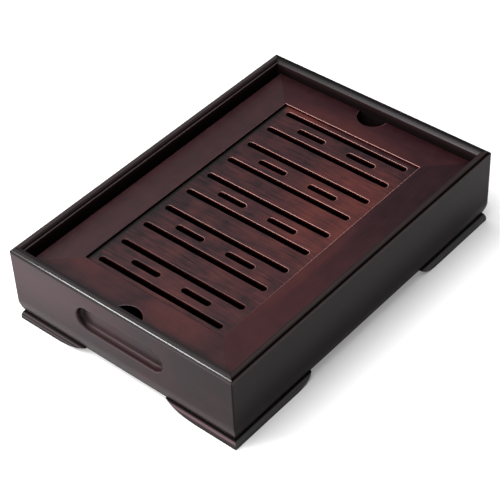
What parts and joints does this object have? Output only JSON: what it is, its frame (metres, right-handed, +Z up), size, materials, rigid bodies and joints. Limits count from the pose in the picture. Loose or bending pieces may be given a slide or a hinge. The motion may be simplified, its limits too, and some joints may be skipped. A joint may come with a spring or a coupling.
{
  "type": "gongfu tea tray",
  "caption": "Rectangular draining tea tray: a footed bamboo box with rounded rims and end grips, a slotted lid that lifts out, and a removable plastic drip tray under it.",
  "frame": {"origin": "on the floor under the middle of the box", "axes": "+X along the long side, towards the right end wall; +Y towards the back; +Z up"},
  "size_m": [0.3, 0.2094, 0.069],
  "materials": {
    "box_lacquer": "satin dark lacquer",
    "foot_lacquer": "satin dark lacquer",
    "lid_lacquer": "satin red-brown lacquer",
    "inner_bamboo": "matt dark stain",
    "drip_plastic": "matt black"
  },
  "bodies": {
    "box": {"front_wall": "box_lacquer", "right_wall": "box_lacquer", "back_wall": "box_lacquer", "left_wall": "box_lacquer", "bottom_panel": "inner_bamboo", "front_ledge": "inner_bamboo", "back_ledge": "inner_bamboo", "front_left_long_foot": "foot_lacquer", "front_left_short_foot": "foot_lacquer", "front_right_long_foot": "foot_lacquer", "front_right_short_foot": "foot_lacquer", "back_right_long_foot": "foot_lacquer", "back_right_short_foot": "foot_lacquer", "back_left_long_foot": "foot_lacquer", "back_left_short_foot": "foot_lacquer"},
    "lid": {"lid_front_rail": "lid_lacquer", "lid_right_rail": "lid_lacquer", "lid_back_rail": "lid_lacquer", "lid_left_rail": "lid_lacquer", "lid_slotted_panel": "lid_lacquer"},
    "drip_tray": {"drip_tray": "drip_plastic"}
  },
  "joints": [
    {"name": "lid_lift", "type": "slide", "parent": "box", "child": "lid", "axis": [0, 0, 1], "range_m": [0, 0.12]},
    {"name": "tray_lift", "type": "slide", "parent": "box", "child": "drip_tray", "axis": [0, 0, 1], "range_m": [0, 0.06]}
  ],
  "couplings": [
    {"joint": "tray_lift", "follows": "lid_lift", "ratio": 0.5}
  ]
}
